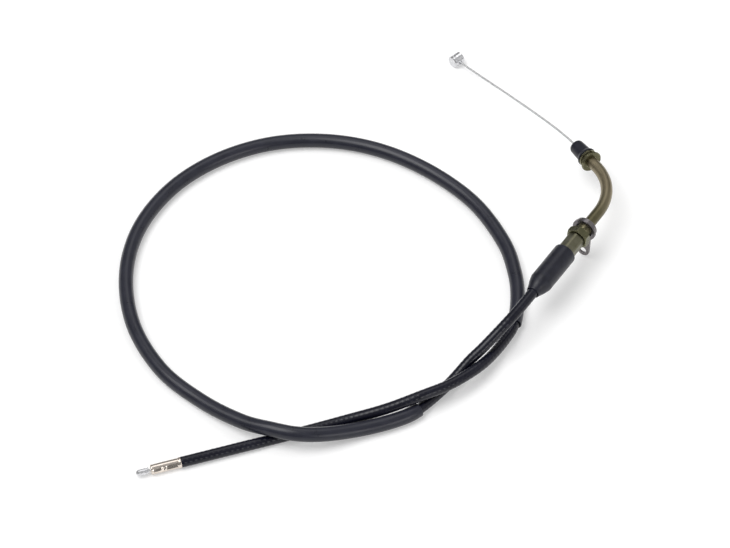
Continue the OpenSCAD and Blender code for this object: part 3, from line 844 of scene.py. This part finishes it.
class CABLE_OT_fittings(bpy.types.Operator):
    """Gives the turned, stamped and cast fittings of the CAD frame their metal finishes"""
    bl_idname = "cable.fittings"
    bl_label = "Metal fittings"

    def execute(self, context):
        colours = context.scene.cable_colours
        zinc = cast_zinc("Zinc alloy, die cast", (tuple(colours.zinc), linear("cdcdd0")), 0.2)
        finishes = {"grip_nipple": zinc, "carb_nipple": zinc, "casing_cap": nickel_material(context)}
        # Each row: node, tint, how it was made, colour, the colour it drifts to, the paler colour painted along its
        # edges as a highlight, and roughness
        for node, tint, made, colour, drifted, edge_highlight, roughness in (
                ("pipe_collar", "olive", "turned", linear("585640"), "66634b", "d0ccae", 0.24),
                ("holder_plate", "violet", "stamped", colours.plate, "7b7774", "a9a6a8", 0.24),
                ("lock_nut", "yellow", "nut", colours.nut, "64624a", "c4c19c", 0.24),
                ("adjuster_barrel", "grey-olive", "turned", colours.barrel, "706e5c", "a5a28c", 0.32)):
            finishes[node] = chromated_steel(f"Steel, {tint} chromated zinc plate, {made}",
                                             (tuple(colour), linear(drifted)), linear(edge_highlight), roughness)
        for node, material in finishes.items():
            data = frame["nodes"][node].data
            data.materials.clear()
            data.materials.append(material)
        return {"FINISHED"}


class CABLE_OT_solder(bpy.types.Operator):
    """Makes the solder fillet where the wire enters the drum, placed by its point in the photograph"""
    bl_idname = "cable.solder"
    bl_label = "Solder at the drum"

    def execute(self, context):
        tree = tree_of([frame["nodes"]["grip_nipple"]])
        seat = place(FEATURES["drum_wire_joint"], tree)
        along = (seat - DRUM_MIDDLE).dot(TO_DRUM)
        back, root, hole = -0.9, 0.35, 0.66
        foot = DRUM_MIDDLE + TO_DRUM * min(along, (root - DRUM_R) * MM)
        loop = softened([(back, hole), (back, 0.74), (0.0, 1.15), (root, 1.2), (root, hole)], 0.2)
        solder = cast_zinc("Tin solder, wiped", (linear("b9babd"), linear("9c9da0")), 0.3)
        fillet = turned("solder_fillet", foot, TO_DRUM, loop, solder, sides=32)
        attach(fillet, "grip_end")
        return {"FINISHED"}


class CABLE_OT_camera(bpy.types.Operator):
    """Makes the camera of the photograph's view"""
    bl_idname = "cable.camera"
    bl_label = "Camera"

    def execute(self, context):
        studio = context.scene.cable_studio
        data = bpy.data.cameras.new("camera")
        data.sensor_fit = "AUTO"
        data.sensor_width = SENSOR_WIDTH
        data.lens = studio.focal_length
        data.clip_end = 20
        camera = bpy.data.objects.new("camera", data)
        context.collection.objects.link(camera)
        look = Vector((0, math.cos(studio.elevation), -math.sin(studio.elevation)))
        camera.location = Vector(studio.target) - look * studio.distance
        camera.rotation_euler = look.to_track_quat("-Z", "Y").to_euler()
        context.scene.camera = camera
        context.view_layer.update()
        return {"FINISHED"}


class CABLE_OT_stage(bpy.types.Operator):
    """Makes the table, the soft light and the pale surroundings"""
    bl_idname = "cable.stage"
    bl_label = "Stage"

    def execute(self, context):
        scene, studio = context.scene, context.scene.cable_studio
        paint, tree, shader = new_material("Paint, matt white table", tuple(studio.table), Roughness=0.85,
                                           Specular_IOR_Level=0.1, Emission_Color=(1, 1, 1, 1))
        # The table glows white where it is looked at, straight or in a reflection, and keeps the cable's shadow
        rays = add_node(tree, "ShaderNodeLightPath").outputs
        looked_at = rays["Is Camera Ray"]
        for ray in ("Is Glossy Ray", "Is Transmission Ray"):
            looked_at = add_node(tree, "ShaderNodeMath", links={0: looked_at, 1: rays[ray]},
                                 operation="MAXIMUM").outputs["Value"]
        glow = add_node(tree, "ShaderNodeMath", {1: studio.table_glow}, {0: looked_at}, operation="MULTIPLY")
        tree.links.new(glow.outputs["Value"], shader.inputs["Emission Strength"])
        mesh = bmesh.new()
        bmesh.ops.create_grid(mesh, x_segments=8, y_segments=8, size=TABLE_HALF_SIZE)
        table = finish_mesh("table", mesh, paint)

        world = bpy.data.worlds.new("soft surroundings")
        world.use_nodes = True
        tree = world.node_tree
        looking = add_node(tree, "ShaderNodeTexCoord").outputs["Generated"]
        surface = tree.nodes["Background"]
        surface.inputs["Color"].default_value = (1, 1, 1, 1)
        # The room grows brighter from the horizon up, and the soft lights add to it
        glows = [((0, 0, 1), 0, 90, studio.room_low, studio.room_high)]
        glows += [(*lobe, 0.0, getattr(studio, name)) for name, lobe in LIGHTS.items()]
        total = None
        for direction, full, edge, low, high in glows:
            away = add_node(tree, "ShaderNodeVectorMath", {1: Vector(direction).normalized()}, {0: looking},
                            operation="DOT_PRODUCT")
            lobe = add_node(tree, "ShaderNodeMapRange",
                            {"From Min": math.cos(math.radians(edge)), "From Max": math.cos(math.radians(full)),
                             "To Min": low, "To Max": high}, {"Value": away.outputs["Value"]},
                            interpolation_type="SMOOTHSTEP").outputs["Result"]
            if total is not None:
                lobe = add_node(tree, "ShaderNodeMath", links={0: total, 1: lobe}).outputs["Value"]
            total = lobe
        tree.links.new(total, surface.inputs["Strength"])
        scene.world = world
        scene.view_settings.view_transform = "Standard"
        return {"FINISHED"}


class CABLE_OT_declare_cord(bpy.types.Operator):
    bl_idname = "cable.declare_cord"
    bl_label = "Declare the cord"

    def execute(self, context):
        track = casing_track()
        return {"FINISHED"}


class CABLE_PT_panel(bpy.types.Panel):
    """Lists the cable's pieces and its studio"""
    bl_idname = "CABLE_PT_panel"
    bl_label = "Throttle cable"
    bl_space_type = "VIEW_3D"
    bl_region_type = "UI"
    bl_category = "Throttle cable"

    def draw(self, context):
        for settings in (context.scene.cable_sizes, context.scene.cable_colours, context.scene.cable_studio):
            box = self.layout.box()
            for name in settings.__annotations__:
                box.prop(settings, name)
        for operator in OPERATORS:
            self.layout.operator(operator.bl_idname)


OPERATORS = (CABLE_OT_camera, CABLE_OT_casing, CABLE_OT_sleeve, CABLE_OT_elbow, CABLE_OT_wire, CABLE_OT_boot,
             CABLE_OT_dust_cap, CABLE_OT_ferrule, CABLE_OT_fittings, CABLE_OT_solder, CABLE_OT_declare_cord,
             CABLE_OT_stage)
CLASSES = (CableSizes, CableColours, StudioSettings, *OPERATORS, CABLE_PT_panel)


def register():
    for item in CLASSES:
        bpy.utils.register_class(item)
    bpy.types.Scene.cable_sizes = PointerProperty(type=CableSizes)
    bpy.types.Scene.cable_colours = PointerProperty(type=CableColours)
    bpy.types.Scene.cable_studio = PointerProperty(type=StudioSettings)


def unregister():
    del bpy.types.Scene.cable_studio
    del bpy.types.Scene.cable_colours
    del bpy.types.Scene.cable_sizes
    for item in reversed(CLASSES):
        bpy.utils.unregister_class(item)


# ---- image points

def tree_of(objects):
    """One search tree over the finished surfaces of several objects, where they stand."""
    points, faces = [], []
    for piece in objects:
        first = len(points)
        points.extend(piece.matrix_world @ v.co for v in piece.data.vertices)
        faces.extend([first + i for i in face.vertices] for face in piece.data.polygons)
    return BVHTree.FromPolygons(points, faces)


def view_ray(point):
    """The camera's place, and the direction of the ray through a point of the image."""
    camera = bpy.context.scene.camera
    data = camera.data
    x, y = point
    ahead = Vector((x - IMAGE_W / 2 + data.shift_x * LONG_SIDE, IMAGE_H / 2 - y + data.shift_y * LONG_SIDE,
                    -LONG_SIDE * data.lens / data.sensor_width))
    return camera.matrix_world.translation, (camera.matrix_world.to_3x3() @ ahead).normalized()


def place(point, tree):
    """Where the ray through an image point meets the tree, or else the tree's nearest place to it."""
    origin, ahead = view_ray(point)
    hit = tree.ray_cast(origin, ahead)[0]
    if hit is not None:
        return hit
    nearest = origin + ahead * (tree.find_nearest(origin)[0] - origin).length
    for _ in range(8):
        nearest = tree.find_nearest(nearest)[0]
        nearest = origin + ahead * (nearest - origin).dot(ahead)
    return tree.find_nearest(nearest)[0]


def in_image(point):
    """Where a point in space shows in the image."""
    camera = bpy.context.scene.camera
    data = camera.data
    local = camera.matrix_world.inverted() @ point
    scale = LONG_SIDE * data.lens / data.sensor_width / -local.z
    return (IMAGE_W / 2 - data.shift_x * LONG_SIDE + local.x * scale,
            IMAGE_H / 2 + data.shift_y * LONG_SIDE - local.y * scale)


def what_shows(pieces, tree):
    """Where the vertices of the pieces show in the image, those that something hides left out."""
    camera = bpy.context.scene.camera.matrix_world.translation
    seen = []
    for piece in pieces:
        for vertex in piece.data.vertices:
            point = piece.matrix_world @ vertex.co
            ahead = (camera - point).normalized()
            if tree.ray_cast(point + ahead * (0.1 * MM), ahead)[0] is None:
                seen.append(in_image(point))
    return seen


def middle_of(seen):
    """The middle of the box round what shows."""
    return [(min(values) + max(values)) / 2 for values in zip(*seen)]


def write_points():
    """Works out how far each image point lies from where its thing shows, as the pieces stand."""
    nodes, objects = frame["nodes"], bpy.data.objects
    drum, fillet = nodes["grip_nipple"], objects["solder_fillet"]
    fittings = [drum]
    fittings += [nodes[name] for name in ("carb_nipple", "pipe_collar", "holder_plate", "lock_nut", "adjuster_barrel")]
    fittings += [objects[name] for name in ("crimped_ferrule", "elbow_tube", "dust_cap_rubber", "boot")]
    tree = tree_of([*fittings, fillet, *(objects[name] for name in ("jacket", "sleeve", "grip_strand"))])
    across, down = zip(*what_shows(fittings, tree))
    shows = {"left": min(across), "right": max(across), "top": min(down), "bottom": max(down)}
    off = {name: [round(value - EDGES[name], 1)] for name, value in shows.items()}

    track = casing_track()
    wire = Track(grip_wire_points())
    sleeve = [in_image(p) for p in track.points[SLEEVE_FIRST * SPAN_STEPS:SLEEVE_LAST * SPAN_STEPS]]
    places = {
        "drum_middle": middle_of(what_shows([drum], tree)),
        "drum_wire_joint": middle_of(what_shows([fillet], tree)),
        "wire_middle": in_image(wire.at(wire.length / 2)[0]),
        "cap_nub": in_image(on_end(NUB_TIP)),
        "collar_disc": in_image(on_end(COLLAR_MIDDLE)),
        "plate_middle": in_image(on_adjuster(PLATE_MIDDLE)),
        "ear_hole": in_image(Vector(MOUNTS["holder_screw_hole"]["pos_m"])),
        "boot_narrow_end": in_image(on_adjuster(BOOT_BACK)),
        "loop_left": min(sleeve),
        "loop_top": min(sleeve, key=lambda point: point[1]),
        "sleeve_end": in_image(track.at(route_distance(track, SLEEVE_FIRST))[0]),
        "ferrule_end": in_image(CASING_END + CARB_AXIS * (FERRULE_LENGTH * MM)),
    }
    for name, spot in places.items():
        off[name] = [round(shown - point, 1) for shown, point in zip(spot, FEATURES[name])]


def main():
    """Makes every piece and the studio, and works out what they measure."""
    register()
    for operator in OPERATORS:
        group, name = operator.bl_idname.split(".")
        getattr(getattr(bpy.ops, group), name)()
    bpy.context.view_layer.update()
    write_points()


if __name__ == "__main__":
    main()
